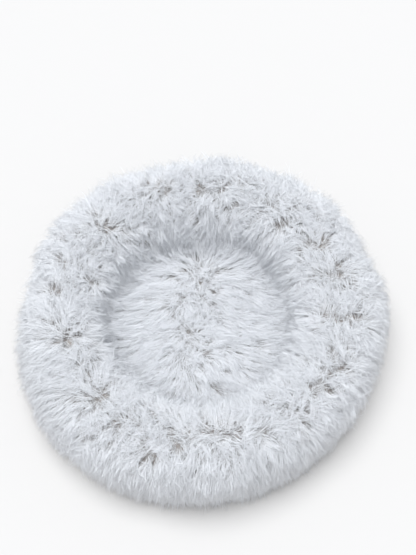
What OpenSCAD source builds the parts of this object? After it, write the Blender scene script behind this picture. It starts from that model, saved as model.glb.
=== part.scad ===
// Round long-pile pet cushion bed: a stuffed rim around a lower nest pad, a cloth base with
// grip dots, and a zip on the underside that lets the inner cushions out for washing.
// Millimetres, +Z up. The origin is on the floor, under the centre of the bed.

/* [Overall] */
// Diameter over the tips of the pile
bed_d = 600; // [560:5:640]
// Height over the tips of the pile
bed_h = 170; // [160:1:180]

/* [Rim] */
// Width of the stuffed tube, measured across its fabric
tube_w = 110; // [106:1:120]
// Depth of pile that stands out sideways from the tube's outer wall
pile_side = 36; // [30:1:40]
// Depth of pile on top of the tube
pile_top = 24; // [18:1:28]
// Depth of pile on the tube's inner wall, over the nest
pile_inside = 16; // [8:1:20]

/* [Nest] */
// Height of the nest pad's fabric at its middle
nest_h = 58; // [48:1:62]
// Depth of pile on top of the nest pad
nest_pile = 20; // [14:1:22]
// Height of the seam that joins the nest to the rim
nest_seam_z = 38; // [34:1:40]

/* [Base] */
// Radius of the flat part of the base cloth
base_r = 210; // [205:1:214]
// Width of the sloping skirt between the flat base and the hem
skirt_w = 31; // [30:0.5:32]
// Slope of the skirt above the floor, in degrees
skirt_slope = 24; // [22:1:26]
// Thickness of the base cloth
cloth_t = 0.8; // [0.6:0.1:1]
// Diameter of one grip dot
dot_d = 5; // [4:0.5:7]
// Distance between neighbouring grip dots
dot_pitch = 20; // [18:1:26]
// Height of a grip dot below its coating
dot_h = 0.9; // [0.6:0.1:1]

/* [Zip] */
// Length of the zip, as an angle round the bed, in degrees
zip_span = 150; // [90:5:170]
// Distance from one side of the chain to the other
chain_w = 6.2; // [5.8:0.1:6.6]
// Gap between the two coils, which the slider's neck runs in
chain_gap = 1.4; // [1.2:0.1:1.6]
// Length of the slider
slider_l = 10; // [9:0.5:12]
// Length of the pull tab from its pivot
pull_l = 26; // [20:1:30]
// How far the pull tab hangs away from the zip, in degrees
pull_hang = 5; // [3:0.5:6]

/* [Hidden] */

// Colours
PILE = [0.87, 0.88, 0.91];
LINING = [0.93, 0.92, 0.90];
FIBRE = [0.97, 0.97, 0.96];
OXFORD = [0.36, 0.37, 0.39];
GRIP = [0.16, 0.16, 0.17];
THREAD = [0.62, 0.63, 0.65];
TAPE = [0.50, 0.51, 0.54];
METAL = [0.70, 0.71, 0.73];

// Base, from the floor up
film_t = 0.3;
film_z = dot_h;
cloth_z = film_z + film_t;
lining_z = cloth_z + cloth_t + 1;
dot_field_r = base_r - 8;

// Tube of the rim: fabric, and the envelope of its pile
tube_a = tube_w / 2;
tube_r = bed_d / 2 - pile_side - tube_a;
tube_top = bed_h - pile_top;
tube_b = 76;
tube_z = tube_top - tube_b;
tube_power = 2.3;
pile_low_z = 4;
pile_a = tube_a + (pile_side + pile_inside) / 2;
pile_r = bed_d / 2 - pile_a;
pile_b = (bed_h - pile_low_z) / 2;
pile_z = bed_h - pile_b;
liner_gap = 1.5;
liner_t = 1;
fill_gap = 0.5;

// Nest pad
wall_t = 1.2;
nest_seam_r = tube_r - tube_a - 0.5;
pad_r = nest_seam_r - 6;
pad_power = 4;
nest_pile_r = nest_seam_r - 0.6;
nest_pile_power = 2.5;

// Skirt: u runs up its slope from the edge of the flat base, v runs out of its outer face
skirt_mid_z = cloth_z + cloth_t / 2;
hem_r = base_r + skirt_w * cos(skirt_slope);
hem_z = skirt_mid_z + skirt_w * sin(skirt_slope);
piping_r = 2;
piping_u = skirt_w + 2.4;
under_lift = 6;
label_at = 250;
label_w = 25;
label_l = 26;
label_t = 0.4;

// Zip: it lies in the skirt at the back of the bed
zip_start = 90 - zip_span / 2;
zip_end = 90 + zip_span / 2;
zip_u = skirt_w / 2;
zip_r = base_r + zip_u * cos(skirt_slope);
zip_z = skirt_mid_z + zip_u * sin(skirt_slope);
tape_t = 0.6;
coil_w = (chain_w - chain_gap) / 2;
coil_t = 2.4;
stop_angle = 1.2;
tape_spare = 0.5;
tape_from = zip_start - stop_angle - tape_spare;
tape_to = zip_end + stop_angle + tape_spare;
slider_clear = 0.3;
slider_half_angle = slider_l / 2 / zip_r * 180 / PI;
slider_at = zip_start + slider_half_angle + 0.15;
slider_w = chain_w + 2.6;
plate_t = 1;
plate_v = coil_t / 2 + slider_clear;
neck_t = 0.8;
neck_l = 3;
lip_t = 0.8;
bail_w = 1.6;
bail_l = 7.2;
bail_in_h = 2;
bail_bar = 1.1;
pull_t = 1.3;
pull_w = 5.6;
pull_v = plate_v + plate_t + bail_in_h / 2;

FINE = 180;
SMALL = 24;
OVAL_POINTS = 60;

// ---- helpers ----

// x with its sign kept, raised to a power
function signed_pow(x, p) = sign(x) * pow(abs(x), p);

// Outline of a superellipse with centre [cx, cy], half-sizes a and b, and a power
function oval(cx, cy, a, b, power) = [
    for (i = [0 : OVAL_POINTS - 1])
        let (t = 360 * i / OVAL_POINTS)
        [cx + a * signed_pow(cos(t), 2 / power), cy + b * signed_pow(sin(t), 2 / power)]
];

// Outline of a quarter superellipse in r and z, standing on z0, from its foot to the axis
function dome(r, z0, h, power) = concat(
    [[0, z0]],
    [
        for (i = [0 : 24])
            let (t = 90 * i / 24)
            [r * signed_pow(cos(t), 2 / power), z0 + h * signed_pow(sin(t), 2 / power)]
    ]
);

// A full turn of the 2D children, which lie in r and z
module turned() {
    rotate_extrude($fn = FINE) children();
}

// Part of a turn, from one angle to another
module arc(from, to) {
    rotate([0, 0, from]) rotate_extrude(angle = to - from, $fn = FINE) children();
}

// Puts 2D children from the skirt's own u and v into r and z
module in_skirt() {
    translate([base_r, skirt_mid_z]) rotate(skirt_slope) mirror([0, 1]) children();
}

// A strip of the skirt: u range, then v range
module strip(u0, u1, v0, v1) {
    in_skirt() translate([u0, v0]) square([u1 - u0, v1 - v0]);
}

// Puts 3D children at a place on the zip: x along the zip, y up the slope, z out of the skirt
module on_zip(angle) {
    rotate([0, 0, angle])
        translate([zip_r, 0, zip_z])
        rotate([0, -skirt_slope, 0])
        rotate([180, 0, 90])
        children();
}

// Everything above the base and the skirt, which the tube rests on
module above_base(inset) {
    run = 150;
    low = lining_z + inset;
    polygon([
        [0, low],
        [base_r - under_lift, low],
        [base_r - under_lift + run * cos(skirt_slope), low + run * sin(skirt_slope)],
        [base_r - under_lift + run * cos(skirt_slope), 2 * bed_h],
        [0, 2 * bed_h]
    ]);
}

// Section of the stuffed tube, this far inside its fabric
module tube_section(inset) {
    intersection() {
        polygon(oval(tube_r, tube_z, tube_a - inset, tube_b - inset, tube_power));
        above_base(inset);
    }
}

// Section of the nest pad, this far inside its fabric
module pad_section(inset) {
    polygon(dome(pad_r - inset, lining_z + inset, nest_h - lining_z - 2 * inset, pad_power));
}

// Section of the nest cover with its pile
module nest_cover_section() {
    difference() {
        polygon(dome(nest_pile_r, nest_seam_z, nest_h + nest_pile - nest_seam_z, nest_pile_power));
        pad_section(0);
    }
}

// ---- covers, liners and fillings ----

// Fur fabric of the rim: its backing lies on the tube, and its pile stands out from it
module rim_cover() {
    low_cut_r = hem_r + 8;
    low_cut_z = hem_z + piping_r + 1.2;
    color(PILE) turned() difference() {
        polygon(oval(pile_r, pile_z, pile_a, pile_b, 2));
        tube_section(0);
        translate([0, -1]) square([low_cut_r, low_cut_z + 1]);
        square([nest_seam_r + 9, nest_seam_z]);
        nest_cover_section();
    }
}

// Fur fabric of the nest: a round panel over the pad, out to the nest seam
module nest_cover() {
    color(PILE) turned() nest_cover_section();
}

// Plain bag that holds the rim's filling
module rim_liner() {
    color(LINING) turned() difference() {
        tube_section(liner_gap);
        tube_section(liner_gap + liner_t);
    }
}

// Polyester fibre inside the rim
module rim_filling() {
    color(FIBRE) turned() tube_section(liner_gap + liner_t + fill_gap);
}

// Plain bag that holds the nest's filling
module nest_liner() {
    color(LINING) turned() difference() {
        pad_section(fill_gap);
        pad_section(fill_gap + liner_t);
    }
}

// Polyester fibre inside the nest pad
module nest_filling() {
    color(FIBRE) turned() pad_section(2 * fill_gap + liner_t);
}

// Lining strip between the rim and the nest, from the nest seam down to the base
module inner_wall() {
    color(LINING) turned()
        translate([nest_seam_r - wall_t, cloth_z + cloth_t])
        square([wall_t, nest_seam_z - cloth_z - cloth_t - 0.2]);
}

// Thread of the seam where the nest, the rim and the inner wall meet
module nest_seam_thread() {
    thread_r = 0.7;
    color(THREAD) turned()
        translate([nest_seam_r + thread_r + 0.2, nest_seam_z - thread_r - 0.1])
        circle(r = thread_r, $fn = SMALL);
}

// ---- base ----

// Oxford cloth: a flat disc, with a sloping skirt wherever the zip is not
module base_cloth() {
    color(OXFORD) union() {
        translate([0, 0, cloth_z]) cylinder(h = cloth_t, r = base_r, $fn = FINE);
        arc(tape_to, tape_from + 360) strip(-0.2, skirt_w, -cloth_t / 2, cloth_t / 2);
    }
}

// Rubber coating on the underside of the base, with its raised dots
module grip_coating() {
    row_h = dot_pitch * sin(60);
    rows = floor(dot_field_r / row_h);
    columns = ceil(dot_field_r / dot_pitch);
    color(GRIP) union() {
        translate([0, 0, film_z]) cylinder(h = film_t, r = dot_field_r + dot_d, $fn = FINE);
        for (row = [-rows : rows])
            for (column = [-columns : columns])
                let (x = (column + (row % 2 == 0 ? 0 : 0.5)) * dot_pitch)
                if (norm([x, row * row_h]) < dot_field_r)
                    translate([x, row * row_h, 0])
                        cylinder(h = dot_h + film_t / 2, d = dot_d, $fn = SMALL);
    }
}

// Piping cord along the hem of the fur fabric
module hem_piping() {
    color(TAPE) turned() in_skirt() translate([piping_u, 0]) circle(r = piping_r, $fn = SMALL);
}

// Thread that sews the skirt to the hem, on the skirt's outer face
module hem_seam_thread() {
    thread_r = 0.35;
    color(THREAD) turned() in_skirt()
        translate([skirt_w - 2, cloth_t / 2 + thread_r])
        circle(r = thread_r, $fn = SMALL);
}

// Blank woven label, folded in two, that lies on the skirt with its end in the hem seam
module care_label() {
    half_angle = label_w / zip_r * 90 / PI;
    outer_v = cloth_t / 2 + 0.9;
    color(LINING) arc(label_at - half_angle, label_at + half_angle) union() {
        strip(skirt_w - label_l, skirt_w - 3, outer_v, outer_v + label_t);
        strip(skirt_w - label_l, skirt_w - 3, outer_v + 2 * label_t, outer_v + 3 * label_t);
        strip(skirt_w - label_l, skirt_w - label_l + label_t, outer_v, outer_v + 3 * label_t);
    }
}

// ---- zip ----

// Tape sewn to the flat base
module zip_tape_inner() {
    color(TAPE) arc(tape_from, tape_to)
        strip(0.6, zip_u - chain_w / 2, -tape_t / 2, tape_t / 2);
}

// Tape sewn to the hem
module zip_tape_outer() {
    color(TAPE) arc(tape_from, tape_to)
        strip(zip_u + chain_w / 2, skirt_w, -tape_t / 2, tape_t / 2);
}

// One coil of teeth, on the side of the chain that side names: -1 inner, 1 outer
module coil(side) {
    middle = zip_u + side * (chain_gap + coil_w) / 2;
    arc(zip_start, zip_end) in_skirt() intersection() {
        translate([middle - coil_w / 2, -coil_t / 2]) square([coil_w, coil_t]);
        translate([middle, 0]) circle(r = coil_w * 0.62, $fn = SMALL * 2);
    }
}

module zip_coil_inner() {
    color(THREAD) coil(-1);
}

module zip_coil_outer() {
    color(THREAD) coil(1);
}

// The two rows of stitches that hold the tapes
module zip_seam_thread() {
    thread_r = 0.3;
    color(THREAD) arc(zip_start, zip_end)
        for (u = [4, skirt_w - 5])
            in_skirt() translate([u, tape_t / 2 + thread_r]) circle(r = thread_r, $fn = SMALL);
}

// Metal clips at the closed end, one on each coil
module zip_top_stops() {
    clip_v = coil_t / 2;
    color(METAL) arc(zip_start - stop_angle, zip_start)
        for (side = [-1, 1])
            let (near = side * chain_gap / 2, far = side * chain_w / 2)
            strip(zip_u + min(near, far), zip_u + max(near, far), -clip_v, clip_v);
}

// Metal clip across both coils at the open end
module zip_bottom_stop() {
    clip_v = coil_t / 2;
    color(METAL) arc(zip_end, zip_end + stop_angle)
        strip(zip_u - chain_w / 2, zip_u + chain_w / 2, -clip_v, clip_v);
}

// One plate of the slider with its two lips; it lies on z = 0 with the lips below it
module slider_plate() {
    lip_drop = plate_v - tape_t / 2 - slider_clear;
    corner = 1.6;
    linear_extrude(plate_t) polygon([
        [-slider_l / 2, -slider_w / 2 + corner],
        [-slider_l / 2 + corner, -slider_w / 2],
        [slider_l / 2 - corner, -slider_w / 2],
        [slider_l / 2, -slider_w / 2 + corner],
        [slider_l / 2, slider_w / 2 - corner],
        [slider_l / 2 - corner, slider_w / 2],
        [-slider_l / 2 + corner, slider_w / 2],
        [-slider_l / 2, slider_w / 2 - corner]
    ]);
    for (side = [-1, 1])
        translate([
            -slider_l / 2 + corner,
            side * (slider_w - lip_t) / 2 - lip_t / 2,
            -lip_drop
        ])
            cube([slider_l - 2 * corner, lip_t, lip_drop + plate_t / 2]);
}

// Slider: two plates either side of the chain, the neck between them, and the bail on top
module zip_slider() {
    bail_v = plate_v + plate_t;
    color(METAL) on_zip(slider_at) union() {
        translate([0, 0, plate_v]) slider_plate();
        mirror([0, 0, 1]) translate([0, 0, plate_v]) slider_plate();
        translate([-slider_l / 2 + 1, -neck_t / 2, -plate_v - plate_t / 2])
            cube([neck_l, neck_t, 2 * plate_v + plate_t]);
        difference() {
            translate([-bail_l / 2, -bail_w / 2, bail_v - plate_t / 2])
                cube([bail_l, bail_w, bail_in_h + bail_bar + plate_t / 2]);
            translate([-bail_l / 2 + bail_bar, -bail_w, bail_v])
                cube([bail_l - 2 * bail_bar, 2 * bail_w, bail_in_h]);
        }
    }
}

// Pull tab: a flat plate with an eye, whose end bar turns inside the slider's bail
module zip_pull() {
    bar_r = 0.65;
    eye_l = 4.9;
    eye_w = bail_w + 1;
    tip_hole_d = 2.6;
    color(METAL) on_zip(slider_at)
        translate([0, 0, pull_v])
        rotate([0, -pull_hang, 0])
        union() {
            rotate([90, 0, 0])
                translate([0, 0, -pull_w / 2])
                cylinder(h = pull_w, r = bar_r, $fn = SMALL);
            difference() {
                translate([0, -pull_w / 2, -pull_t / 2]) cube([pull_l, pull_w, pull_t]);
                translate([-1, -eye_w / 2, -pull_t]) cube([eye_l + 1, eye_w, 2 * pull_t]);
                translate([pull_l - 4, 0, -pull_t])
                    cylinder(h = 2 * pull_t, d = tip_hole_d, $fn = SMALL);
            }
        }
}

rim_cover();
nest_cover();
rim_liner();
rim_filling();
nest_liner();
nest_filling();
inner_wall();
nest_seam_thread();
base_cloth();
grip_coating();
hem_piping();
hem_seam_thread();
care_label();
zip_tape_inner();
zip_tape_outer();
zip_coil_inner();
zip_coil_outer();
zip_seam_thread();
zip_top_stops();
zip_bottom_stop();
zip_slider();
zip_pull();
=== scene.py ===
"""Round long-pile pet bed: real strands of fur, cloth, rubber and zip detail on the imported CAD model.

Everything is in metres, in the CAD's frame. Sizes and places come from the CAD nodes' boxes.
The fur grows on the fabric of the rim and of the nest. It lies outward beyond the crest of the
rim, inward towards the nest, and away from a spine on the nest. On the spine, along the crest and
in the whorls it is tousled: there the strands stand up and part, so that their dark roots show.
"""
import math

import bmesh
import bpy
import numpy as np
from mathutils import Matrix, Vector


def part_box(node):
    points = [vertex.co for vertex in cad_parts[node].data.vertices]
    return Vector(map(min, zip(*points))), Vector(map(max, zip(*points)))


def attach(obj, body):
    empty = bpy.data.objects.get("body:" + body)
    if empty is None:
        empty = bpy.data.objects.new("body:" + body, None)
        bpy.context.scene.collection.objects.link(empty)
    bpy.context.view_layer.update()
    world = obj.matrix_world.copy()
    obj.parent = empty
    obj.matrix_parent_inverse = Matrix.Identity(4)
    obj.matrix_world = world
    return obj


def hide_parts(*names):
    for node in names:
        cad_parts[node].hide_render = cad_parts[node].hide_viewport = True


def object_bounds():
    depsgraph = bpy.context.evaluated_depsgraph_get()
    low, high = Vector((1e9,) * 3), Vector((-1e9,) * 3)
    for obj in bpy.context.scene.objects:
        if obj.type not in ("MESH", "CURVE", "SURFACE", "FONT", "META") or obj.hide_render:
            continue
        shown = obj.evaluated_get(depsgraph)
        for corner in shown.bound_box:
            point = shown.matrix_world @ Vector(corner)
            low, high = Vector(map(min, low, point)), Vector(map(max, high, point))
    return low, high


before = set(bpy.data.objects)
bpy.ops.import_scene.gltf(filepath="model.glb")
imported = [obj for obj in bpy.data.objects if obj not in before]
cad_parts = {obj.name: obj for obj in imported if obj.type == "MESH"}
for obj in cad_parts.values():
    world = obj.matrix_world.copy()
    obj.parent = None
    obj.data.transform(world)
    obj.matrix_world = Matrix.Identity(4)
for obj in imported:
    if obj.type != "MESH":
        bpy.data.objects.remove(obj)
CAD_LOW, CAD_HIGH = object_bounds()

MM = 0.001
SEED = 7
UV_NAME = "OFBake"

# ---- sizes taken from the CAD nodes ----

SEAM_LOW, SEAM_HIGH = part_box("nest_seam_thread")
LINER_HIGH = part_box("rim_liner")[1]
PAD_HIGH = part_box("nest_liner")[1]
PIPING_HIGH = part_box("hem_piping")[1]
LINER_GAP = 1.5 * MM  # between the fur fabric and the liner

SEAM_R = (SEAM_HIGH.x - SEAM_LOW.x) / 2
SEAM_Z = SEAM_HIGH.z
HEM_R = PIPING_HIGH.x - 1.5 * MM  # the fur fabric ends over the piping
HEM_Z = PIPING_HIGH.z + 0.5 * MM
TUBE_OUTER = LINER_HIGH.x + LINER_GAP
TUBE_TOP = LINER_HIGH.z + LINER_GAP
TUBE_R = (TUBE_OUTER + SEAM_R) / 2
TUBE_A = (TUBE_OUTER - SEAM_R) / 2  # half the rim's width
TUBE_B = 76 * MM  # half the height of the whole curve, whose foot is cut off
TUBE_Z = TUBE_TOP - TUBE_B
TUBE_POWER = 2.3  # 2 is an ellipse, and more is fuller at the corners
CORNER_Z = TUBE_Z - 0.585 * TUBE_B  # here the rim's side turns under, towards the hem
UNDER_SLOPE = math.radians(24)  # the rim's underside rises from the hem at this slope
PAD_R = PAD_HIGH.x
PAD_TOP = PAD_HIGH.z + 0.5 * MM
PAD_POWER = 4  # as TUBE_POWER, for the pad


# ---- smooth noise ----

class Waves:
    """A smooth random field in space: a sum of plane waves, with its slope."""

    def __init__(self, seed, count, shortest, longest):
        rng = np.random.default_rng(seed)
        direction = rng.normal(size=(count, 3))
        direction /= np.linalg.norm(direction, axis=1)[:, None]
        length = rng.uniform(shortest, longest, count)
        self.k = direction * (2 * np.pi / length)[:, None]
        self.phase = rng.uniform(0, 2 * np.pi, count)
        self.scale = math.sqrt(2 / count)

    def height(self, p):
        return np.cos(p @ self.k.T + self.phase).sum(-1) * self.scale

    def slope(self, p):
        """The gradient, scaled so that its size is about 1."""
        wave = -np.sin(p @ self.k.T + self.phase)
        return (wave @ unit(self.k)) * self.scale * math.sqrt(1.5)


def unit(v):
    """Vectors made one long."""
    return v / np.maximum(np.linalg.norm(v, axis=-1, keepdims=True), 1e-9)


def smooth(x, low, high):
    """0 below low, 1 above high, and a smooth step between."""
    t = np.clip((x - low) / (high - low), 0, 1)
    return t * t * (3 - 2 * t)


def signed_power(x, p):
    """A power that keeps the sign, for rounded squares."""
    return np.sign(x) * np.abs(x) ** p


# ---- fabric surfaces ----

LUMPS = Waves(SEED, 18, 90 * MM, 220 * MM)
LUMP_SIZE = 3.0 * MM
FIRM_Z, FREE_Z = 20 * MM, 75 * MM  # below the first the bed is exact, above the second it is free


def oval(angle):
    """How much wider than round the bed is in this direction, as a share of its radius."""
    return (
        0.030 * np.cos(2 * (angle - math.radians(35)))
        + 0.006 * np.cos(3 * (angle - math.radians(15)))
        + 0.004 * np.cos(angle - math.radians(20))
    )


def settle(p):
    """The bed's own unevenness: slightly oval and lumpy above the hem, exact at the hem and base."""
    free = smooth(p[..., 2], FIRM_Z, FREE_Z)
    angle = np.arctan2(p[..., 1], p[..., 0])
    wide = smooth(np.hypot(p[..., 0], p[..., 1]), SEAM_R, TUBE_OUTER)
    out = p * np.array([1.0, 1.0, 0.0])
    lumps = LUMPS.height(p) * LUMP_SIZE
    return p + out * (oval(angle) * free * wide)[..., None] + unit(p) * (lumps * free)[..., None]


class Section:
    """A surface of revolution from a line in r and z, with its length v from a given start."""

    def __init__(self, r, z, zero=0.0):
        self.r, self.z = np.array(r), np.array(z)
        step = np.hypot(np.diff(self.r), np.diff(self.z))
        self.v = np.concatenate([[0], np.cumsum(step)]) - zero
        self.dr, self.dz = np.gradient(self.r, self.v), np.gradient(self.z, self.v)

    def place(self, theta, v, inset=0.0):
        """Points, outward normals and the tangents along v."""
        r, z = np.interp(v, self.v, self.r), np.interp(v, self.v, self.z)
        dr, dz = np.interp(v, self.v, self.dr), np.interp(v, self.v, self.dz)
        size = np.hypot(dr, dz)
        dr, dz = dr / size, dz / size
        c, s = np.cos(theta), np.sin(theta)
        normal = np.stack([-dz * c, -dz * s, dr], -1)
        r, z = r + dz * inset, z - dr * inset
        along = np.stack([dr * c, dr * s, dz], -1)
        return settle(np.stack([r * c, r * s, z], -1)), normal, along


def rim_section():
    """From the nest seam, over the crest, to the hem. v is 0 on the crest and grows outward."""
    start = math.pi + math.asin(((TUBE_Z - SEAM_Z) / TUBE_B) ** (TUBE_POWER / 2))
    end = -math.asin(((TUBE_Z - CORNER_Z) / TUBE_B) ** (TUBE_POWER / 2))
    t = np.linspace(start, end, 240)
    r = TUBE_R + TUBE_A * signed_power(np.cos(t), 2 / TUBE_POWER)
    z = TUBE_Z + TUBE_B * signed_power(np.sin(t), 2 / TUBE_POWER)
    under = np.linspace(0, 1, 16)[1:]
    r = np.concatenate([r, r[-1] + (HEM_R - r[-1]) * under])
    z = np.concatenate([z, z[-1] + (HEM_Z - z[-1]) * under])
    step = np.hypot(np.diff(r), np.diff(z))
    return Section(r, z, zero=step[: int(np.argmax(z))].sum())


def nest_section():
    """From the middle of the pad to the nest seam. v is the distance from the middle."""
    t = np.linspace(math.pi / 2, 0, 120)
    base = 3 * MM
    r = PAD_R * signed_power(np.cos(t), 2 / PAD_POWER)
    z = base + (PAD_TOP - base) * signed_power(np.sin(t), 2 / PAD_POWER)
    keep = z > SEAM_Z + 2 * MM
    r, z = np.append(r[keep], SEAM_R - 0.6 * MM), np.append(z[keep], SEAM_Z)
    return Section(r, z)


RIM = rim_section()
NEST = nest_section()


# ---- meshes ----

def new_object(name, vertices, faces_of, smooth_shading=True):
    """A mesh object from an array of vertices and a list of face index arrays (all alike in each)."""
    mesh = bpy.data.meshes.new(name)
    counts = [np.full(len(f), f.shape[1], np.int32) for f in faces_of]
    loops = np.concatenate([f.ravel() for f in faces_of]).astype(np.int32)
    sizes = np.concatenate(counts)
    starts = np.concatenate([[0], np.cumsum(sizes)[:-1]]).astype(np.int32)
    mesh.vertices.add(len(vertices))
    mesh.vertices.foreach_set("co", np.asarray(vertices, np.float32).ravel())
    mesh.loops.add(len(loops))
    mesh.loops.foreach_set("vertex_index", loops)
    mesh.polygons.add(len(sizes))
    mesh.polygons.foreach_set("loop_start", starts)
    mesh.update(calc_edges=True)
    mesh.polygons.foreach_set("use_smooth", np.full(len(sizes), smooth_shading))
    obj = bpy.data.objects.new(name, mesh)
    bpy.context.scene.collection.objects.link(obj)
    return obj


def grid_faces(rows, columns, wrap):
    """Quads of a grid of rows by columns; wrap joins the last column to the first."""
    across = columns if wrap else columns - 1
    i, j = np.meshgrid(np.arange(rows - 1), np.arange(across), indexing="ij")
    k = (j + 1) % columns
    near, far = i * columns, (i + 1) * columns
    return np.stack([near + j, near + k, far + k, far + j], -1).reshape(-1, 4)


def turned_round(r, z, angle):
    """A line of r and z turned round the axis, as points in rows of angles."""
    return np.stack([
        r[:, None] * np.cos(angle), r[:, None] * np.sin(angle), np.repeat(z[:, None], len(angle), 1)
    ], -1)


def lathe(name, section, rows, columns, inset):
    """The surface of a section as a mesh."""
    v = np.linspace(section.v[0], section.v[-1], rows)
    theta = np.linspace(0, 2 * np.pi, columns, endpoint=False)
    vv, tt = np.meshgrid(v, theta, indexing="ij")
    p = section.place(tt, vv, inset)[0]
    return new_object(name, p.reshape(-1, 3), [grid_faces(rows, columns, True)])


# ---- fur ----

STRAND_RINGS = np.array([0.0, 0.2, 0.45, 0.72])  # where a strand has its rings, as shares of it
STRAND_TAPER = np.array([0.62, 1.0, 0.9, 0.6])  # and how thick it is there
SIDES = 3
TONES = 24  # how many tones a strand can have, holding random tone and painted light together
PATH_STEPS = 12  # steps in which a clump's path is worked out
CLUMP_STRANDS = 6
CLUMP_SPREAD = 2.2 * MM
LOCK_CLUMPS = 9
EVEN_STEP = np.array([0.7548776662, 0.5698402910])  # the R2 sequence, which fills a square evenly
FLOOR_GAP = 2.5 * MM  # between the lowest strands and the floor
FLOOR_EASE = 6 * MM  # strands bend away from the floor over this height
RIM_CLUMPS, RIM_SECTORS = 26500, 18
NEST_CLUMPS, NEST_SECTORS = 5500, 4

# Whorls on the rim, each an angle in degrees, a share of the bed's radius, and how tousled it is
WHORLS = [
    (154, 0.64, 0.9),
    (167, 0.64, 1.1),
    (161, 0.82, 0.5),
    (98, 0.70, 0.7),
    (97, 0.58, 0.8),
    (70, 0.66, 1.0),
    (68, 0.84, 0.8),
    (81, 0.88, 0.5),
    (58, 0.80, 0.5),
    (29, 0.77, 1.2),
    (23, 0.70, 0.6),
    (4, 0.72, 0.7),
    (8, 0.53, 0.5),
    (-30, 0.50, 0.6),
    (-49, 0.61, 0.9),
    (-71, 0.50, 0.6),
    (-101, 0.75, 0.5),
    (-113, 0.72, 1.2),
    (-120, 0.57, 0.6),
    (-130, 0.87, 1.0),
    (-135, 0.65, 0.8),
    (124, 0.61, 0.7),
    (155, 0.46, 0.4),
]
WHORL_WIDTH = 24 * MM
MESSY = Waves(SEED + 1, 28, 34 * MM, 90 * MM)
FINE_MESS = Waves(SEED + 2, 40, 9 * MM, 24 * MM)
CREST_WOBBLE = Waves(SEED + 3, 8, 120 * MM, 260 * MM)


def rim_v_at(radius):
    """The v on the upper side of the rim at this distance from the axis."""
    upper = RIM.z > TUBE_Z
    return np.interp(radius, RIM.r[upper], RIM.v[upper])


def tousled(p):
    """How tousled the rim's fur is here: about 1 at the middle of a whorl, 0 where it lies smooth."""
    degrees, share, strengths = np.array(WHORLS).T
    centres = RIM.place(np.radians(degrees), rim_v_at(share * CAD_HIGH.x))[0]
    total = np.zeros(len(p))
    for centre, strength in zip(centres, strengths):
        total += strength * np.exp(-((p - centre) ** 2).sum(-1) / (2 * WHORL_WIDTH**2))
    return np.minimum(total, 1.25)


def rim_flow(p, normal, along, v):
    """Which way the fur lies on the rim, as a vector in the surface, and how tousled it is."""
    crest = CREST_WOBBLE.height(p) * 10 * MM
    off = v - crest
    near_crest = np.exp(-((off / (52 * MM)) ** 2))
    mess = tousled(p)
    slide = off / np.sqrt(off**2 + (24 * MM) ** 2) * (1 - 0.38 * np.minimum(mess, 1))
    flow = along * slide[..., None]
    flow = flow + MESSY.slope(p) * (0.10 + 0.30 * near_crest + 0.30 * mess)[..., None]
    flow = flow + FINE_MESS.slope(p) * (0.14 + 0.42 * near_crest + 0.42 * mess)[..., None]
    return flow - normal * (flow * normal).sum(-1)[..., None], mess


def nest_flow(p, normal, along, v):
    """Which way the fur lies on the nest: away from a spine that runs from the back to the middle."""
    top = np.array([-2 * MM, 92 * MM])
    foot = np.array([-14 * MM, -46 * MM])
    line = foot - top
    share = np.clip(((p[..., :2] - top) @ line) / (line @ line), 0, 1)
    nearest = top + share[..., None] * line
    away = p[..., :2] - nearest
    size = np.linalg.norm(away, axis=-1)
    away = away / np.sqrt(size**2 + (26 * MM) ** 2)[..., None]
    left = smooth(-p[..., 0], -10 * MM, 30 * MM)
    away = away + np.stack([-0.20 * left, -0.80 * left - 0.40 * (1 - left)], -1)
    flow = np.concatenate([away, 0 * away[..., :1]], -1)
    mess = np.exp(-((size / (22 * MM)) ** 2))
    flow = flow + MESSY.slope(p) * (0.30 + 0.20 * mess)[..., None]
    flow = flow + FINE_MESS.slope(p) * (0.20 + 0.45 * mess)[..., None]
    return flow - normal * (flow * normal).sum(-1)[..., None], mess


def spread(count, seed):
    """Evenly spread points in the unit square, with a little jitter."""
    rng = np.random.default_rng(seed)
    i = np.arange(count)
    jitter = rng.normal(0, 0.25 / math.sqrt(count), (count, 2))
    return (i[:, None] * EVEN_STEP + rng.random(2) + jitter) % 1


def spread_on(section, count, seed, density):
    """Angles and v of points spread over a section's surface; density is a function of v."""
    flat = spread(count, seed)
    v = np.linspace(section.v[0], section.v[-1], 600)
    weight = np.interp(v, section.v, section.r) * density(v)
    total = np.concatenate([[0], np.cumsum((weight[1:] + weight[:-1]) / 2)])
    return flat[:, 0] * 2 * np.pi, np.interp(flat[:, 1] * total[-1], total, v)


def lie_path(root, normal, flow, length, lift, lay, droop, wave):
    """Points along a strand: it leaves the fabric at lift and bends over to lay, both from the normal."""
    tangent = unit(flow)
    side = np.cross(normal, tangent)
    points = [root]
    step = length / PATH_STEPS
    p = root
    for i in range(PATH_STEPS):
        s = (i + 0.5) / PATH_STEPS
        angle = lift + (lay - lift) * smooth(np.array(s), 0.0, 0.75)
        d = normal * np.cos(angle)[:, None] + tangent * np.sin(angle)[:, None]
        d = d + side * (wave[:, 0] * np.sin(wave[:, 1] + s * wave[:, 2]))[:, None]
        d = d + np.array([0, 0, -1.0]) * (droop * s * s)[:, None]
        p = p + unit(d) * step[:, None]
        points.append(p)
    return np.stack(points, 1)


def eased(x, limit, share):
    """x, with what goes past the limit cut down to this share."""
    return np.where(x > limit, limit + (x - limit) * share, x)


def clear_of_rim(r, z):
    """The nest's strands lie level with the pad's top, and turn up where they meet the rim."""
    height = np.linspace(0, 1, r.shape[-1])
    z = z + height * (PAD_TOP - np.interp(r, NEST.r, NEST.z)) * 0.85
    z = z + height * np.maximum(r - (PAD_R - 24 * MM), 0) * 0.9
    return eased(r, SEAM_R + 8 * MM, 0.5), z


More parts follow.
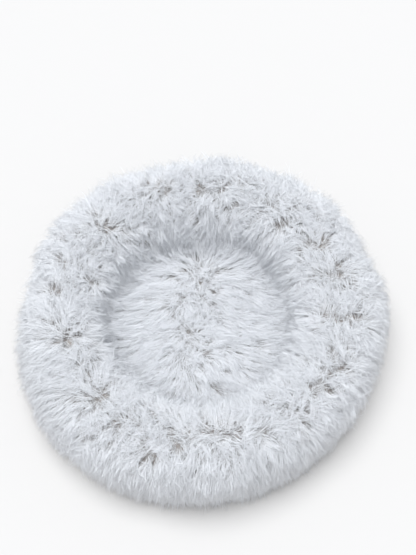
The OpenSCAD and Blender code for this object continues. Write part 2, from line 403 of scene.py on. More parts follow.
def clear_of_nest(r, z):
    """The rim's strands lie over the nest's pile and bridge the groove between rim and nest."""
    pile_z = PAD_TOP + 12 * MM
    z = np.where((r < SEAM_R) & (z < pile_z), pile_z + (z - pile_z) * 0.15, z)
    in_groove = smooth(SEAM_R + 20 * MM - r, 0, 14 * MM) * np.linspace(0, 1, r.shape[-1]) ** 0.7
    return z + in_groove * np.maximum(pile_z + 6 * MM - z, 0) * 0.85


def clear_of_hem(r, z, wanted):
    """Low strands fold outward past the hem, out of the zip's space, and bend along the floor."""
    low = smooth(-z, -22 * MM, -14 * MM)
    hem = HEM_R + 8 * MM
    wanted = np.where((r > SEAM_R + 30 * MM) & (r < hem), r + 1.35 * low * (hem - r), wanted)
    under = np.maximum(FLOOR_GAP + FLOOR_EASE - z, 0)
    z = np.where(under > 0, FLOOR_GAP + FLOOR_EASE * np.exp(-under / FLOOR_EASE), z)
    return wanted + under * 0.3, z


def keep_clear(points, nest):
    """Keeps strands in the pile's own depth, off the floor, and out of the zip's space and the pad."""
    x, y, z = points[..., 0], points[..., 1], points[..., 2]
    r, angle = np.hypot(x, y), np.arctan2(y, x)
    if nest:
        wanted, z = clear_of_rim(r, z)
    else:
        z = eased(clear_of_nest(r, z), CAD_HIGH.z - 6 * MM, 0.35)
        wanted = eased(r, (CAD_HIGH.x - 5 * MM) * (1 + oval(angle)), 0.4)
        wanted, z = clear_of_hem(r, z, wanted)
    return np.stack([wanted * np.cos(angle), wanted * np.sin(angle), z], -1)


def strands_mesh(name, points, width, tone, rng):
    """Closed, tapered, three-sided strands along rows of points, as one mesh with its strand map."""
    n, fine = points.shape[0], points.shape[1] - 1
    at = STRAND_RINGS * fine
    low = np.floor(at).astype(int)
    part = (at - low)[None, :, None]
    rings = points[:, low] * (1 - part) + points[:, low + 1] * part
    ahead = points[:, np.minimum(low + 1, fine)] - points[:, low]
    d = unit(ahead)
    ref = unit(rng.normal(size=(n, 1, 3)))
    e1 = unit(np.cross(d, ref))
    e2 = np.cross(d, e1)
    radius = (width[:, None] / 2 * STRAND_TAPER)[..., None, None]
    turn = np.arange(SIDES) * 2 * np.pi / SIDES
    ring = e1[:, :, None] * np.cos(turn)[:, None] + e2[:, :, None] * np.sin(turn)[:, None]
    verts = rings[:, :, None] + ring * radius
    per = len(STRAND_RINGS) * SIDES + 1
    verts = np.concatenate([verts.reshape(n, -1, 3), points[:, -1:]], 1).reshape(-1, 3)
    quads = grid_faces(len(STRAND_RINGS), SIDES, True)
    side = np.arange(SIDES)
    last = per - 1 - SIDES
    tips = np.stack([last + side, last + (side + 1) % SIDES, 0 * side + per - 1], 1)
    base = (np.arange(n) * per)[:, None, None]
    obj = new_object(name, verts, [
        (base + quads).reshape(-1, 4),
        (base + tips).reshape(-1, 3),
        (base + np.array([[2, 1, 0]])).reshape(-1, 3),
    ])
    write_strand_map(obj, n, tone)
    return obj


def write_strand_map(obj, count, tone):
    """UVs that say which tone a strand has (u, in TONES columns) and how far up it a point is (v)."""
    height = np.append(STRAND_RINGS, 1.0)
    column = (tone[:, None] + np.array([0.12, 0.88])[None]) / TONES
    quad_uv = np.empty((count, 3 * SIDES, 4, 2))
    k = np.repeat(np.arange(3), SIDES)
    quad_uv[:, :, 0, 1] = quad_uv[:, :, 1, 1] = height[k]
    quad_uv[:, :, 2, 1] = quad_uv[:, :, 3, 1] = height[k + 1]
    quad_uv[:, :, 0, 0] = quad_uv[:, :, 3, 0] = column[:, :1]
    quad_uv[:, :, 1, 0] = quad_uv[:, :, 2, 0] = column[:, 1:]
    tip_uv = np.empty((count, SIDES, 3, 2))
    tip_uv[:, :, :2, 1] = height[3]
    tip_uv[:, :, 2, 1] = 0.995
    tip_uv[:, :, 0, 0], tip_uv[:, :, 1, 0] = column[:, :1], column[:, 1:]
    tip_uv[:, :, 2, 0] = column.mean(1)[:, None]
    end_uv = np.empty((count, 1, 3, 2))
    end_uv[..., 0] = np.stack([column[:, 0], column[:, 1], column.mean(1)], 1)[:, None]
    end_uv[..., 1] = np.array([0.0, 0.0, 0.01])
    layer = obj.data.uv_layers.new(name=UV_NAME)
    flat = np.concatenate([quad_uv.ravel(), tip_uv.ravel(), end_uv.ravel()])
    layer.data.foreach_set("uv", flat.astype(np.float32))


def lock_of(roots, every):
    """For each clump, the nearest of the clumps that lead a lock."""
    leads = np.arange(0, len(roots), every)
    near = np.empty(len(roots), int)
    for part in np.array_split(np.arange(len(roots)), 8):
        d2 = ((roots[part][:, None] - roots[leads][None]) ** 2).sum(-1)
        near[part] = leads[d2.argmin(1)]
    return near


def turned_about(v, axis, angle):
    """Vectors turned about unit axes."""
    c, s = np.cos(angle), np.sin(angle)
    return v * c + np.cross(axis, v) * s + axis * (v * axis).sum(-1, keepdims=True) * (1 - c)


def lay_of(flow, normal, v, mess, crossed, nest, rng):
    """Which way each clump lies, with some turned aside, and how flat it lies, from 0 to 1."""
    stands = (0.5 if nest else 0.38) * np.minimum(mess, 1)
    laid = smooth(np.linalg.norm(flow, axis=-1), 0.15, 0.95) * (1 - stands)
    turn = rng.normal(0, 1, len(v)) * (0.12 + 0.55 * (1 - laid))
    across = rng.random(len(v)) < crossed(v, mess)
    turn = np.where(across, rng.uniform(-np.pi, np.pi, len(v)), turn)
    return turned_about(unit(flow), normal, turn[:, None]), laid


def clump_paths(p, normal, flow, laid, v, inner, nest, rng):
    """Points along each clump. Angles are in degrees from the normal, and inner is 1 inside the crest."""
    count = len(v)
    outer = 0 * v if nest else smooth(v, 20 * MM, 70 * MM)
    deep = 0 * v if nest else smooth(-v, 75 * MM, 125 * MM)
    flat = 82 if nest else 78 - 8 * outer + 9 * inner
    lift = np.radians(26 + 18 * laid + 28 * inner + rng.normal(0, 8, count))
    lay = np.radians(62 + (flat - 62) * laid + rng.normal(0, 7, count))
    length = (43 + 3 * outer - 10 * deep) * MM * rng.normal(1, 0.10, count)
    droop = 0.10 + 0.30 * outer
    wave = np.stack([
        rng.uniform(0.02, 0.20, count) + 0.35 * (1 - laid) * rng.random(count),
        rng.uniform(0, 2 * np.pi, count),
        rng.uniform(2, 8, count),
    ], 1)
    return lie_path(p, normal, flow, length, lift, lay, droop, wave)


def in_locks(p, paths, laid):
    """Points along each clump from its root, drawn towards the clump that leads its lock."""
    s = np.linspace(0, 1, paths.shape[1])[None, :, None]
    body = paths - paths[:, :1]
    lock = lock_of(p, LOCK_CLUMPS)
    shared = (0.20 + 0.24 * laid)[:, None, None]
    return (1 - shared) * body + shared * body[lock] + (p[lock] - p)[:, None] * 0.5 * shared * s**1.5


def clump_strands(section, theta, v, p, body, mess, nest, tuft, rng):
    """Points along every strand, and the roots; tuft says which clump a strand belongs to."""
    n = len(tuft)
    s = np.linspace(0, 1, body.shape[1])[None, :, None]
    shift = rng.normal(0, CLUMP_SPREAD, (n, 2))
    r_here = np.maximum(np.interp(v, section.v, section.r), 20 * MM)
    theta_i = theta[tuft] + shift[:, 0] / r_here[tuft]
    v_i = np.clip(v[tuft] + shift[:, 1], section.v[0], section.v[-1])
    roots = section.place(theta_i, v_i)[0]
    offset = roots - p[tuft]
    grip = np.clip(rng.normal(0.42, 0.27, n), -0.2, 0.95)[:, None, None]
    shorter = 1 - 0.22 * np.minimum(mess, 1)[tuft]
    reach = (np.clip(rng.normal(0.95, 0.13, n), 0.5, 1.2) * shorter)[:, None, None]
    stray = (rng.random(n) < 0.09)[:, None, None]
    frizz = rng.normal(0, 1, (n, 1, 3)) * np.where(stray, 8 * MM, 1.6 * MM)
    curl = rng.normal(0, 1, (n, 1, 3)) * 1.1 * MM
    beat = np.sin(rng.uniform(5, 11, (n, 1, 1)) * s + rng.uniform(0, 6, (n, 1, 1))) * s
    points = p[tuft][:, None] + body[tuft] * reach + offset[:, None] * (1 - grip * s**1.2)
    return keep_clear(points + frizz * s**1.7 + curl * beat, nest), roots


def grow(section, flow_of, count, seed, density, crossed, nest=False):
    """Grows the fur of one fabric: strands in clumps, and clumps in locks.

    Returns the strands' points, widths, tones and angles round the bed.
    """
    rng = np.random.default_rng(seed)
    theta, v = spread_on(section, count, seed, density)
    p, normal, along = section.place(theta, v)
    flow, mess = flow_of(p, normal, along, v)
    flow, laid = lay_of(flow, normal, v, mess, crossed, nest, rng)
    inner = 0 * v if nest else smooth(-v, 15 * MM, 60 * MM) * (1 - 1.3 * smooth(-v, 62 * MM, 95 * MM))
    body = in_locks(p, clump_paths(p, normal, flow, laid, v, inner, nest, rng), laid)

    tuft = np.repeat(np.arange(count), CLUMP_STRANDS)
    n = len(tuft)
    points, roots = clump_strands(section, theta, v, p, body, mess, nest, tuft, rng)
    # Painted light and shade: the nest's strands and those on the rim's inner side get lighter tones, and
    # those on the rim's outer side darker ones; on top of that each clump and strand differs in tone at
    # random.
    light = 0.95 if nest else 0.42 + 0.53 * np.clip(inner, 0, 1)
    clump_tone_with_painted_light = light + 0.15 * rng.normal(0, 1.0, count)
    tone = np.clip(np.round(TONES * (clump_tone_with_painted_light[tuft] + 0.10 * rng.normal(0, 1, n))), 0, TONES - 1)
    width = rng.uniform(0.48, 0.78, n) * MM
    return points, width, tone, np.arctan2(roots[:, 1], roots[:, 0]) % (2 * np.pi)


def fur_material():
    """White silky fibre with dark roots, and painted light and shade: each strand's middle is painted
    lighter and its tip darker, and its tone is painted lighter in the nest and on the rim's inner side.
    Its colour reads only the strand map.
    """
    mat = bpy.data.materials.new("fur_strands")
    mat.use_nodes = True
    nodes, links = mat.node_tree.nodes, mat.node_tree.links
    shader = nodes["Principled BSDF"]
    shader.inputs["Roughness"].default_value = 0.62
    shader.inputs["Specular IOR Level"].default_value = 0.22
    shader.inputs["Sheen Weight"].default_value = 0.15
    uv = nodes.new("ShaderNodeUVMap")
    uv.uv_map = UV_NAME
    split = nodes.new("ShaderNodeSeparateXYZ")
    links.new(uv.outputs["UV"], split.inputs[0])
    ramp = nodes.new("ShaderNodeValToRGB")
    # Along the strand: dark at the root, lightest in the middle, and darker again at the tip. The darker
    # tip is painted shade on the tips that the lamp lights, and the lighter middle is painted light on
    # the strands' shaded middle.
    root_to_tip_with_painted_light = [
        (0.00, (0.26, 0.21, 0.18)),
        (0.10, (0.43, 0.385, 0.36)),
        (0.22, (0.76, 0.755, 0.76)),
        (0.36, (0.90, 0.905, 0.92)),
        (0.65, (0.88, 0.89, 0.915)),
        (1.00, (0.80, 0.81, 0.835)),
    ]
    while len(ramp.color_ramp.elements) < len(root_to_tip_with_painted_light):
        ramp.color_ramp.elements.new(0.5)
    for element, (place, colour) in zip(ramp.color_ramp.elements, root_to_tip_with_painted_light):
        element.position = place
        element.color = (*colour, 1)
    links.new(split.outputs["Y"], ramp.inputs["Fac"])
    column = nodes.new("ShaderNodeMath")
    column.operation = "MULTIPLY"
    column.inputs[1].default_value = TONES
    links.new(split.outputs["X"], column.inputs[0])
    whole = nodes.new("ShaderNodeMath")
    whole.operation = "FLOOR"
    links.new(column.outputs[0], whole.inputs[0])
    # Each column's tone, random tone and painted light together, becomes a brightness from 0.90 to 1.03.
    tone = nodes.new("ShaderNodeMapRange")
    tone.inputs["From Max"].default_value = TONES - 1
    tone.inputs["To Min"].default_value = 0.90
    tone.inputs["To Max"].default_value = 1.03
    links.new(whole.outputs[0], tone.inputs["Value"])
    shade = nodes.new("ShaderNodeVectorMath")
    shade.operation = "SCALE"
    links.new(ramp.outputs["Color"], shade.inputs[0])
    links.new(tone.outputs["Result"], shade.inputs["Scale"])
    links.new(shade.outputs[0], shader.inputs["Base Color"])
    return mat


def plain_material(name, colour, roughness):
    """A material of one colour."""
    mat = bpy.data.materials.new(name)
    mat.use_nodes = True
    shader = mat.node_tree.nodes["Principled BSDF"]
    shader.inputs["Base Color"].default_value = (*colour, 1)
    shader.inputs["Roughness"].default_value = roughness
    return mat


def rim_density(v):
    """How thick the pile is on the rim: thinner low on the outside, and down in the valley."""
    return 1.0 - 0.45 * smooth(v, 118 * MM, 160 * MM) - 0.25 * smooth(-v, 85 * MM, 120 * MM)


def rim_crossed(v, mess):
    """The share of clumps that lie any way, most of them on the crest and in whorls."""
    return 0.06 + 0.20 * np.exp(-((v / (55 * MM)) ** 2)) + 0.24 * np.minimum(mess, 1)


def nest_crossed(v, mess):
    """As rim_crossed, for the nest."""
    return 0.10 + 0.38 * mess


def make_fur():
    """The pile of the rim and of the nest, in sectors that keep each piece within its size limit."""
    rng = np.random.default_rng(SEED + 50)
    material = fur_material()
    rim = grow(RIM, rim_flow, RIM_CLUMPS, SEED + 10, rim_density, rim_crossed)
    nest = grow(NEST, nest_flow, NEST_CLUMPS, SEED + 20, np.ones_like, nest_crossed, nest=True)
    for part, node, grown, sectors in (("rim_fur", "rim_cover", rim, RIM_SECTORS),
                                       ("nest_fur", "nest_cover", nest, NEST_SECTORS)):
        points, width, tone, angle = grown
        sector = (angle // (2 * np.pi / sectors)).astype(int)
        for k in range(sectors):
            chosen = sector == k
            obj = strands_mesh(f"{part}_{k + 1}", points[chosen], width[chosen], tone[chosen], rng)
            dress(obj, material, "fur", node)


def dress(obj, material, slot, *replaced, body="bed"):
    """Material, body and replaced CAD nodes of one piece; slot is not used."""
    obj.data.materials.append(material)
    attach(obj, body)
    if replaced:
        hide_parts(*replaced)


def make_backing():
    """The knitted backing that the pile grows from, which shows only where the pile parts."""
    material = cloth_material("fur_backing", (0.30, 0.27, 0.245), 2.2 * MM, 0.35, 0.95)
    rim = lathe("rim_backing", RIM, 90, 240, 0.5 * MM)
    thicken(rim, 0.8 * MM)
    dress(rim, material, "fur", "rim_cover")
    nest = lathe("nest_backing", NEST, 40, 160, 0.3 * MM)
    thicken(nest, 0.6 * MM)
    dress(nest, material, "fur", "nest_cover")


# ---- bags of lining, and what fills them ----

def closed_tube(inset, floor_z, slope_from):
    """Loop of r and z round the stuffed tube, this far inside its fabric; it stands on the base."""
    t = np.linspace(0, 2 * np.pi, 110, endpoint=False)
    r = TUBE_R + (TUBE_A - inset) * signed_power(np.cos(t), 2 / TUBE_POWER)
    z = TUBE_Z + (TUBE_B - inset) * signed_power(np.sin(t), 2 / TUBE_POWER)
    base = floor_z + inset + np.maximum(r - slope_from, 0) * math.tan(UNDER_SLOPE)
    return r, np.maximum(z, base)


def closed_pad(inset, floor_z):
    """Line of r and z from the axis over the top of the nest pad, down its side, and back below."""
    t = np.linspace(math.pi / 2, 0, 70)
    r = (PAD_R - inset) * signed_power(np.cos(t), 2 / PAD_POWER)
    z = floor_z + inset + (PAD_TOP - floor_z - 2 * inset) * signed_power(np.sin(t), 2 / PAD_POWER)
    back = np.linspace(1, 0, 20)[1:]
    return np.append(r, r[-1] * back), np.append(z, z[-1] + 0 * back)


def puckered(name, r, z, columns, loop, rough, size):
    """A bag: the line of r and z turned round the axis, with wrinkles this deep, inward only."""
    theta = np.linspace(0, 2 * np.pi, columns, endpoint=False)
    p = turned_round(r, z, theta)
    middle_r, middle_z = (TUBE_R, TUBE_Z) if loop else (0, z.mean())
    inward = unit(np.stack([middle_r - r, middle_z - z], -1))
    direction = turned_round(inward[:, 0], inward[:, 1], theta)
    depth = (0.5 + 0.35 * rough.height(p)) * size
    p = settle(p + direction * np.clip(depth, 0, size)[..., None])
    rows = len(r)
    faces = grid_faces(rows, columns, True)
    if loop:
        j = np.arange(columns)
        k = (j + 1) % columns
        last = (rows - 1) * columns
        faces = np.concatenate([faces, np.stack([last + j, last + k, k, j], -1)])
    obj = new_object(name, p.reshape(-1, 3), [faces])
    tidy_mesh(obj)
    return obj


def tidy_mesh(obj):
    """Merges doubled points, as at a pole, and points every face outward."""
    bm = bmesh.new()
    bm.from_mesh(obj.data)
    bmesh.ops.remove_doubles(bm, verts=bm.verts, dist=1e-5)
    bmesh.ops.recalc_face_normals(bm, faces=bm.faces)
    for face in bm.faces:
        face.smooth = True
    bm.to_mesh(obj.data)
    bm.free()


def thicken(obj, thickness):
    """Gives a sheet its thickness, towards the padding."""
    modifier = obj.modifiers.new("thickness", "SOLIDIFY")
    modifier.thickness = thickness
    modifier.offset = -1


def make_bags():
    """Liners and fillings of the rim and the nest."""
    lining = cloth_material("lining_cloth", (0.86, 0.85, 0.83), 0.5 * MM, 0.06, 0.7)
    fibre = fibre_material()
    floor_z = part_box("rim_liner")[0].z - LINER_GAP
    slope_from = HEM_R - (HEM_Z - floor_z) / math.tan(UNDER_SLOPE)
    creases = Waves(SEED + 30, 30, 9 * MM, 40 * MM)
    wads = Waves(SEED + 31, 30, 25 * MM, 70 * MM)
    plans = [
        ("rim_liner", "rim_liner_bag", closed_tube, 1.6 * MM, 0.9 * MM, creases, lining, "lining"),
        ("rim_filling", "rim_stuffing", closed_tube, 3.2 * MM, 3.0 * MM, wads, fibre, "fibre"),
        ("nest_liner", "nest_liner_bag", closed_pad, 0.6 * MM, 0.9 * MM, creases, lining, "lining"),
        ("nest_filling", "nest_stuffing", closed_pad, 2.2 * MM, 2.5 * MM, wads, fibre, "fibre"),
    ]
    for node, name, line, inset, size, rough, material, slot in plans:
        loop = line is closed_tube
        r, z = line(inset, floor_z, slope_from) if loop else line(inset, floor_z)
        bag = puckered(name, r, z, 260, loop, rough, size)
        dress(bag, material, slot, node)


# ---- stitches and zip coils ----

def node_points(name):
    """A CAD node's own points in r, angle and z."""
    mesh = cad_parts[name].data
    p = np.empty(len(mesh.vertices) * 3, np.float32)
    mesh.vertices.foreach_get("co", p)
    p = p.reshape(-1, 3).astype(float)
    return np.hypot(p[:, 0], p[:, 1]), np.arctan2(p[:, 1], p[:, 0]), p[:, 2]


def ring_of(name, lower=None):
    """Radius and height of the middle of a ring's wire; lower picks one of two rings."""
    r, _, z = node_points(name)
    if lower is not None:
        below = z < (z.min() + z.max()) / 2
        r, z = r[below == lower], z[below == lower]
    return (r.min() + r.max()) / 2, (z.min() + z.max()) / 2


def tubes(name, paths, radii, sides):
    """Closed tubes along rows of points, each with its radii; paths is tubes by points by 3."""
    n, m = paths.shape[:2]
    ahead = np.empty_like(paths)
    ahead[:, 1:-1] = paths[:, 2:] - paths[:, :-2]
    ahead[:, 0], ahead[:, -1] = paths[:, 1] - paths[:, 0], paths[:, -1] - paths[:, -2]
    d = unit(ahead)
    e1 = unit(np.cross(d, np.array([0.31, 0.17, 0.93])))
    e2 = np.cross(d, e1)
    turn = np.arange(sides) * 2 * np.pi / sides
    ring = e1[:, :, None] * np.cos(turn)[:, None] + e2[:, :, None] * np.sin(turn)[:, None]
    verts = paths[:, :, None] + ring * radii[None, :, None, None]
    per = m * sides
    base = (np.arange(n) * per)[:, None, None]
    first = np.arange(sides)[::-1]
    last = per - sides + np.arange(sides)
    return new_object(name, verts.reshape(-1, 3), [
        (base + grid_faces(m, sides, True)).reshape(-1, 4),
        (base + first).reshape(-1, sides),
        (base + last).reshape(-1, sides),
    ])


def outward_of_skirt(angle):
    """The skirt's outer face points this way, at these angles round the bed."""
    out, down = math.sin(UNDER_SLOPE), math.cos(UNDER_SLOPE)
    return np.stack([out * np.cos(angle), out * np.sin(angle), -down + 0 * angle], -1)


def stitch_row(r, z, start, end, pitch, length, thread_r):
    """Paths of a row of stitches on the skirt, from one angle to another."""
    count = int(round((end - start) * r / pitch))
    middle = start + (np.arange(count) + 0.5) * (end - start) / count
    s = np.linspace(-1, 1, 7)
    angle = middle[:, None] + s[None] * length / 2 / r
    rise = thread_r * 0.55 * (1 - 2.2 * s**4)
    p = np.stack([r * np.cos(angle), r * np.sin(angle), z + 0 * angle], -1)
    return p + outward_of_skirt(angle) * rise[None, :, None]


def make_stitches():
    """Lock stitches, one by one, in place of the CAD's threads."""
    thread = thread_material("sewing_thread", (0.60, 0.61, 0.64), 0.45 * MM)
    swell = np.array([0.55, 0.9, 1.0, 1.0, 1.0, 0.9, 0.55])
    hem_wire, zip_wire = 0.35 * MM, 0.3 * MM
    row = stitch_row(*ring_of("hem_seam_thread"), 0, 2 * np.pi, 4.6 * MM, 3.7 * MM, hem_wire)
    hem = tubes("hem_stitches", row, swell * hem_wire, 6)
    dress(hem, thread, "thread", "hem_seam_thread")
    angle = node_points("zip_seam_thread")[1]
    start, end = angle.min(), angle.max()
    rows = [
        stitch_row(*ring_of("zip_seam_thread", lower), start, end, 3.4 * MM, 2.7 * MM, zip_wire)
        for lower in (True, False)
    ]
    rows = tubes("zip_stitches", np.concatenate(rows), swell * zip_wire, 6)
    dress(rows, thread, "thread", "zip_seam_thread")


def make_coils():
    """The zip's two coils of monofilament, each a long flattened helix."""
    nylon = coil_material()
    pitch, wire_r, turn_points = 1.25 * MM, 0.28 * MM, 10
    slope_sin, slope_cos = math.sin(UNDER_SLOPE), math.cos(UNDER_SLOPE)
    for node in ("zip_coil_inner", "zip_coil_outer"):
        r, angle, z = node_points(node)
        centre_r, centre_z = (r.min() + r.max()) / 2, (z.min() + z.max()) / 2
        start, end = angle.min(), angle.max()
        turns = int((end - start) * centre_r / pitch)
        t = np.linspace(0, 1, turns * turn_points + 1)
        phase = 2 * np.pi * turns * t
        if node == "zip_coil_outer":
            phase = math.pi - phase
        theta = start + wire_r / centre_r + (end - start - 2 * wire_r / centre_r) * t
        tall = (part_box(node)[1].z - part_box(node)[0].z) / 2
        half = tall / (slope_sin + slope_cos) * 1.18  # the CAD coil is a tilted square with cut corners
        reach = half - wire_r
        up = np.stack([
            slope_cos * np.cos(theta), slope_cos * np.sin(theta), slope_sin + 0 * theta
        ], -1)
        centre = np.stack([centre_r * np.cos(theta), centre_r * np.sin(theta), centre_z + 0 * theta], -1)
        out = outward_of_skirt(theta)
        p = centre + up * (reach * np.cos(phase))[:, None] + out * (reach * np.sin(phase))[:, None]
        coil = tubes(node + "_helix", p[None], np.full(len(t), wire_r), 4)
        dress(coil, nylon, "zip_coil", node)


# ---- materials ----

class Graph:
    """Short calls for building one material's nodes."""

    def __init__(self, name):
        self.material = bpy.data.materials.new(name)
        self.material.use_nodes = True
        self.tree = self.material.node_tree
        self.shader = self.tree.nodes["Principled BSDF"]

    def put(self, socket, value):
        if isinstance(value, bpy.types.NodeSocket):
            self.tree.links.new(value, socket)
        elif isinstance(value, tuple) and len(value) == 3 and len(socket.default_value) == 4:
            socket.default_value = (*value, 1)
        else:
            socket.default_value = value

    def node(self, kind, out=0, inputs=None, **settings):
        made = self.tree.nodes.new("ShaderNode" + kind)
        for key, value in settings.items():
            setattr(made, key, value)
        for key, value in (inputs or {}).items():
            self.put(made.inputs[key], value)
        return made.outputs[out]

    def math(self, operation, a, b=0.0):
        return self.node("Math", operation=operation, inputs={0: a, 1: b})

    def place(self):
        return self.node("TexCoord", "Object")

    def xyz(self, vector):
        made = self.tree.nodes.new("ShaderNodeSeparateXYZ")
        self.put(made.inputs[0], vector)
        return made.outputs[0], made.outputs[1], made.outputs[2]

    def noise(self, vector, size, detail=3.0, stretch=None):
        """Noise from 0 to 1, with lumps of about this size in metres."""
        if stretch:
            vector = self.node("Mapping", inputs={"Vector": vector, "Scale": stretch})
        return self.node("TexNoise", "Fac", {"Vector": vector, "Scale": 1 / size, "Detail": detail})

    def ripple(self, value, pitch):
        """A sine wave along value, from -1 to 1."""
        return self.math("SINE", self.math("MULTIPLY", value, 2 * math.pi / pitch))

    def ramp(self, value, low, high, dark, light):
        """Colour from dark to light as value goes from low to high."""
        share = self.node("MapRange", inputs={"Value": value, "From Min": low, "From Max": high})
        return self.mix(share, dark, light)

    def mix(self, share, a, b):
        made = self.tree.nodes.new("ShaderNodeMix")
        made.data_type = "RGBA"
        self.put(made.inputs[0], share)
        self.put(made.inputs[6], a)
        self.put(made.inputs[7], b)
        return made.outputs[2]

    def finish(self, colour, roughness, height=None, depth=0.0001, **direct):
        self.put(self.shader.inputs["Base Color"], colour)
        self.put(self.shader.inputs["Roughness"], roughness)
        for key, value in direct.items():
            self.shader.inputs[key.replace("_", " ")].default_value = value
        if height is not None:
            bump = self.node("Bump", "Normal", {"Height": height, "Distance": depth, "Strength": 1.0})
            self.put(self.shader.inputs["Normal"], bump)
        return self.material


def scaled(colour, factor):
    """A colour made lighter or darker."""
    return tuple(min(c * factor, 1.0) for c in colour)


def cloth_material(name, colour, pitch, contrast, roughness, sheen=0.2):
    """Plain weave or knit: threads over and under each other, with slubs and slight fading."""
    g = Graph(name)
    place = g.place()
    x, y, z = g.xyz(place)
    weave = g.math("MULTIPLY", g.ripple(x, pitch * 2), g.ripple(g.math("ADD", y, z), pitch * 2))
    slub = g.noise(place, pitch * 6, 2.0, (1.0, 0.15, 1.0))
    fade = g.noise(place, 60 * MM, 3.0)
    height = g.math("ADD", weave, g.math("MULTIPLY", slub, 0.8))
    threads = g.ramp(height, -1.0, 1.6, scaled(colour, 1 - contrast), scaled(colour, 1 + contrast))
    base = g.mix(g.math("MULTIPLY", fade, 0.25), threads, scaled(colour, 0.8))
    rough = g.node("MapRange", inputs={
        "Value": slub, "To Min": roughness - 0.08, "To Max": min(roughness + 0.05, 1.0),
    })
    return g.finish(base, rough, height, pitch * 0.25, Sheen_Weight=sheen)


def thread_material(name, colour, pitch):
    """Twisted thread: fine slanting plies."""
    g = Graph(name)
    place = g.place()
    x, y, z = g.xyz(place)
    ply = g.ripple(g.math("ADD", g.math("ADD", x, y), z), pitch)
    fuzz = g.noise(place, 0.3 * MM, 2.0)
    colour_out = g.ramp(g.math("ADD", ply, fuzz), -1.0, 2.0, scaled(colour, 0.72), scaled(colour, 1.12))
    return g.finish(colour_out, 0.55, ply, 0.05 * MM, Sheen_Weight=0.15)


def fibre_material():
    """Polyester wadding: white, cloudy and matt."""
    g = Graph("polyester_fibre")
    place = g.place()
    cloud = g.noise(place, 14 * MM, 5.0)
    hair = g.noise(place, 1.2 * MM, 4.0, (1.0, 0.3, 0.6))
    base = g.ramp(g.math("ADD", cloud, hair), 0.7, 1.3, (0.80, 0.80, 0.79), (0.95, 0.95, 0.94))
    return g.finish(base, 0.95, g.math("ADD", cloud, hair), 1.2 * MM, Sheen_Weight=0.3)


def rubber_material():
    """Rubber coating: fine leathery grain, dusty in patches and rubbed on the dots."""
    g = Graph("grip_rubber")
    place = g.place()
    grain = g.node("TexVoronoi", "Distance", {"Vector": place, "Scale": 1 / (1.1 * MM)})
    dust = g.noise(place, 45 * MM, 5.0)
    z = g.xyz(place)[2]
    worn = g.node("MapRange", inputs={"Value": z, "From Min": 0.5 * MM, "From Max": 0.0, "To Max": 0.6})
    base = g.ramp(dust, 0.35, 0.7, (0.035, 0.035, 0.038), (0.075, 0.073, 0.070))
    base = g.mix(worn, base, (0.12, 0.12, 0.12))
    rough = g.node("MapRange", inputs={"Value": dust, "To Min": 0.50, "To Max": 0.78})
    return g.finish(base, rough, g.math("MULTIPLY", grain, -1.0), 0.12 * MM)


def piping_material():
    """Twill tape wound round a cord: fine slanting ribs along the hem."""
    g = Graph("piping_twill")
    place = g.place()
    x, y, z = g.xyz(place)
    along = g.math("MULTIPLY", g.math("ARCTAN2", y, x), HEM_R)
    rib = g.ripple(g.math("ADD", along, g.math("MULTIPLY", z, 1.4)), 0.9 * MM)
    wear = g.noise(place, 25 * MM, 4.0)
    base = g.ramp(g.math("ADD", rib, wear), -0.8, 1.8, (0.13, 0.135, 0.15), (0.27, 0.28, 0.30))
    return g.finish(base, 0.82, rib, 0.12 * MM, Sheen_Weight=0.25)


def tape_material():
    """Zip tape: woven ribs that run along the tape."""
    g = Graph("zip_tape_weave")
    place = g.place()
    x, y, _ = g.xyz(place)
    level = g.node("Mapping", inputs={"Vector": place, "Scale": (1.0, 1.0, 0.0)})
    radius = g.node("VectorMath", "Value", {0: level}, operation="LENGTH")
    rib = g.ripple(radius, 0.75 * MM)
    cross = g.ripple(g.math("MULTIPLY", g.math("ARCTAN2", y, x), HEM_R), 0.6 * MM)
    height = g.math("ADD", rib, g.math("MULTIPLY", cross, 0.4))
    base = g.ramp(height, -1.4, 1.4, (0.11, 0.115, 0.13), (0.23, 0.24, 0.265))
    return g.finish(base, 0.8, height, 0.1 * MM, Sheen_Weight=0.15)


def coil_material():
    """Dyed nylon monofilament: shiny, and scuffed."""
    g = Graph("zip_nylon")
    place = g.place()
    scuff = g.noise(place, 3 * MM, 4.0)
    base = g.ramp(scuff, 0.35, 0.7, (0.17, 0.175, 0.19), (0.27, 0.28, 0.30))
    rough = g.node("MapRange", inputs={"Value": scuff, "To Min": 0.28, "To Max": 0.5})
    return g.finish(base, rough, scuff, 0.03 * MM)


def metal_material():
    """Nickel-plated zinc: tumbled, with fine scratches and dull patches."""
    g = Graph("zip_metal")
    place = g.place()
    scratch = g.noise(place, 0.9 * MM, 4.0, (1.0, 0.12, 1.0))
    patch = g.noise(place, 4 * MM, 3.0)
    base = g.ramp(patch, 0.3, 0.7, (0.50, 0.50, 0.50), (0.68, 0.68, 0.67))
    rough = g.node("MapRange", inputs={
        "Value": g.math("ADD", scratch, patch), "From Min": 0.6, "From Max": 1.4,
        "To Min": 0.22, "To Max": 0.42,
    })
    return g.finish(base, rough, scratch, 0.02 * MM, Metallic=1.0)


def label_material():
    """Woven satin label, left blank: fine crosswise floats."""
    g = Graph("blank_label")
    place = g.place()
    x, y, _ = g.xyz(place)
    float_line = g.ripple(g.math("ADD", x, g.math("MULTIPLY", y, 0.35)), 0.35 * MM)
    crease = g.noise(place, 12 * MM, 3.0)
    base = g.ramp(g.math("ADD", float_line, crease), -0.8, 1.8, (0.74, 0.73, 0.70), (0.88, 0.87, 0.85))
    return g.finish(base, 0.42, g.math("ADD", float_line, crease), 0.06 * MM, Sheen_Weight=0.1)


def paint(material, *nodes):
    """Gives CAD nodes that stay in view this material."""
    for name in nodes:
        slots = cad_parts[name].data.materials
        slots.clear()
        slots.append(material)


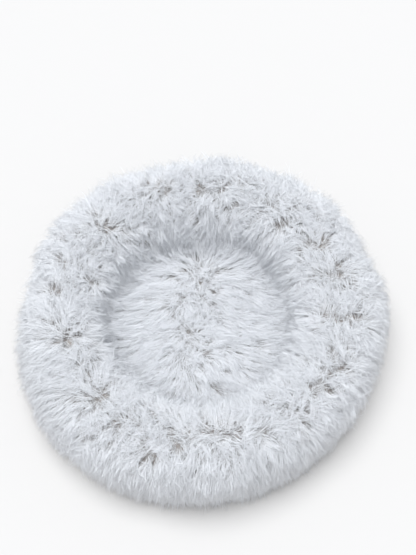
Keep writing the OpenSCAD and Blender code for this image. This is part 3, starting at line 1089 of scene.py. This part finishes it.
def round_edges(width, segments, *nodes):
    """Rounds the sharp edges of CAD nodes with a modifier, which leaves their meshes alone."""
    for name in nodes:
        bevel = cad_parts[name].modifiers.new("soft_edges", "BEVEL")
        bevel.width = width
        bevel.segments = segments
        bevel.limit_method = "ANGLE"
        bevel.angle_limit = math.radians(40)
        bevel.harden_normals = False


def finish_cad_nodes():
    """Materials and rounded edges of the CAD nodes that stay."""
    paint(cloth_material("inner_lining", (0.84, 0.83, 0.81), 0.5 * MM, 0.06, 0.7), "inner_wall")
    paint(cloth_material("oxford_weave", (0.105, 0.11, 0.12), 0.55 * MM, 0.30, 0.78), "base_cloth")
    paint(thread_material("seam_thread", (0.55, 0.56, 0.60), 0.6 * MM), "nest_seam_thread")
    paint(rubber_material(), "grip_coating")
    paint(piping_material(), "hem_piping")
    paint(tape_material(), "zip_tape_inner", "zip_tape_outer")
    paint(label_material(), "care_label")
    metal = metal_material()
    paint(metal, "zip_top_stops", "zip_bottom_stop", "zip_slider", "zip_pull")
    round_edges(0.22 * MM, 2, "zip_slider", "zip_pull", "zip_top_stops", "zip_bottom_stop")
    round_edges(0.25 * MM, 2, "grip_coating")


# ---- stage, light and camera ----

def make_stage():
    """A plain pale floor that rises far away, so that no horizon shows in a view from the side."""
    flat_r, wide_r, rise = 5.0, 60.0, 10.0
    rows, corners = 12, 96
    radius = np.linspace(flat_r, wide_r, rows)
    height = rise * ((radius - flat_r) / (wide_r - flat_r)) ** 2 - 0.5 * MM
    turn = np.arange(corners) * 2 * np.pi / corners
    points = turned_round(radius, height, turn).reshape(-1, 3)
    faces = [grid_faces(rows, corners, True), np.arange(corners)[None]]
    floor = new_object("floor", points, faces, smooth_shading=False)
    floor.data.materials.append(plain_material("stage_floor", (0.57, 0.545, 0.52), 0.9))


def soft_sun(name, towards, strength, softness, colour):
    """A wide, soft light that shines from this direction."""
    light = bpy.data.lights.new(name, "SUN")
    light.energy = strength
    light.angle = math.radians(softness)
    light.color = colour
    obj = bpy.data.objects.new(name, light)
    obj.rotation_euler = Vector(towards).to_track_quat("Z", "Y").to_euler()
    bpy.context.scene.collection.objects.link(obj)


def make_light():
    """A pale sky, one wide lamp above, and a view that keeps the fur's whites apart."""
    world = bpy.data.worlds.new("studio")
    world.use_nodes = True
    background = world.node_tree.nodes["Background"]
    background.inputs["Color"].default_value = (0.85, 0.92, 1.0, 1)
    background.inputs["Strength"].default_value = 0.50
    bpy.context.scene.world = world
    soft_sun("key", (-0.12, 0.02, 1.0), 4.15, 40, (0.92, 0.955, 1.0))
    bpy.context.scene.view_settings.view_transform = "Standard"
    bpy.context.scene.view_settings.gamma = 1.35


def make_camera():
    """The photograph's view: from the front, at 67 degrees above the floor."""
    elevation = math.radians(67)
    distance = 1.75
    target = Vector((0.0, 0.0, 0.075))
    back = Vector((0, -math.cos(elevation), math.sin(elevation)))
    cam = bpy.data.cameras.new("camera")
    cam.lens = 71.5
    cam.shift_x = 0.015
    cam.shift_y = 0.084
    obj = bpy.data.objects.new("camera", cam)
    obj.location = target + back * distance
    obj.rotation_euler = (-back).to_track_quat("-Z", "Y").to_euler()
    bpy.context.scene.collection.objects.link(obj)
    bpy.context.scene.camera = obj


make_camera()
make_light()
make_stage()
make_backing()
make_bags()
make_stitches()
make_coils()
finish_cad_nodes()
make_fur()
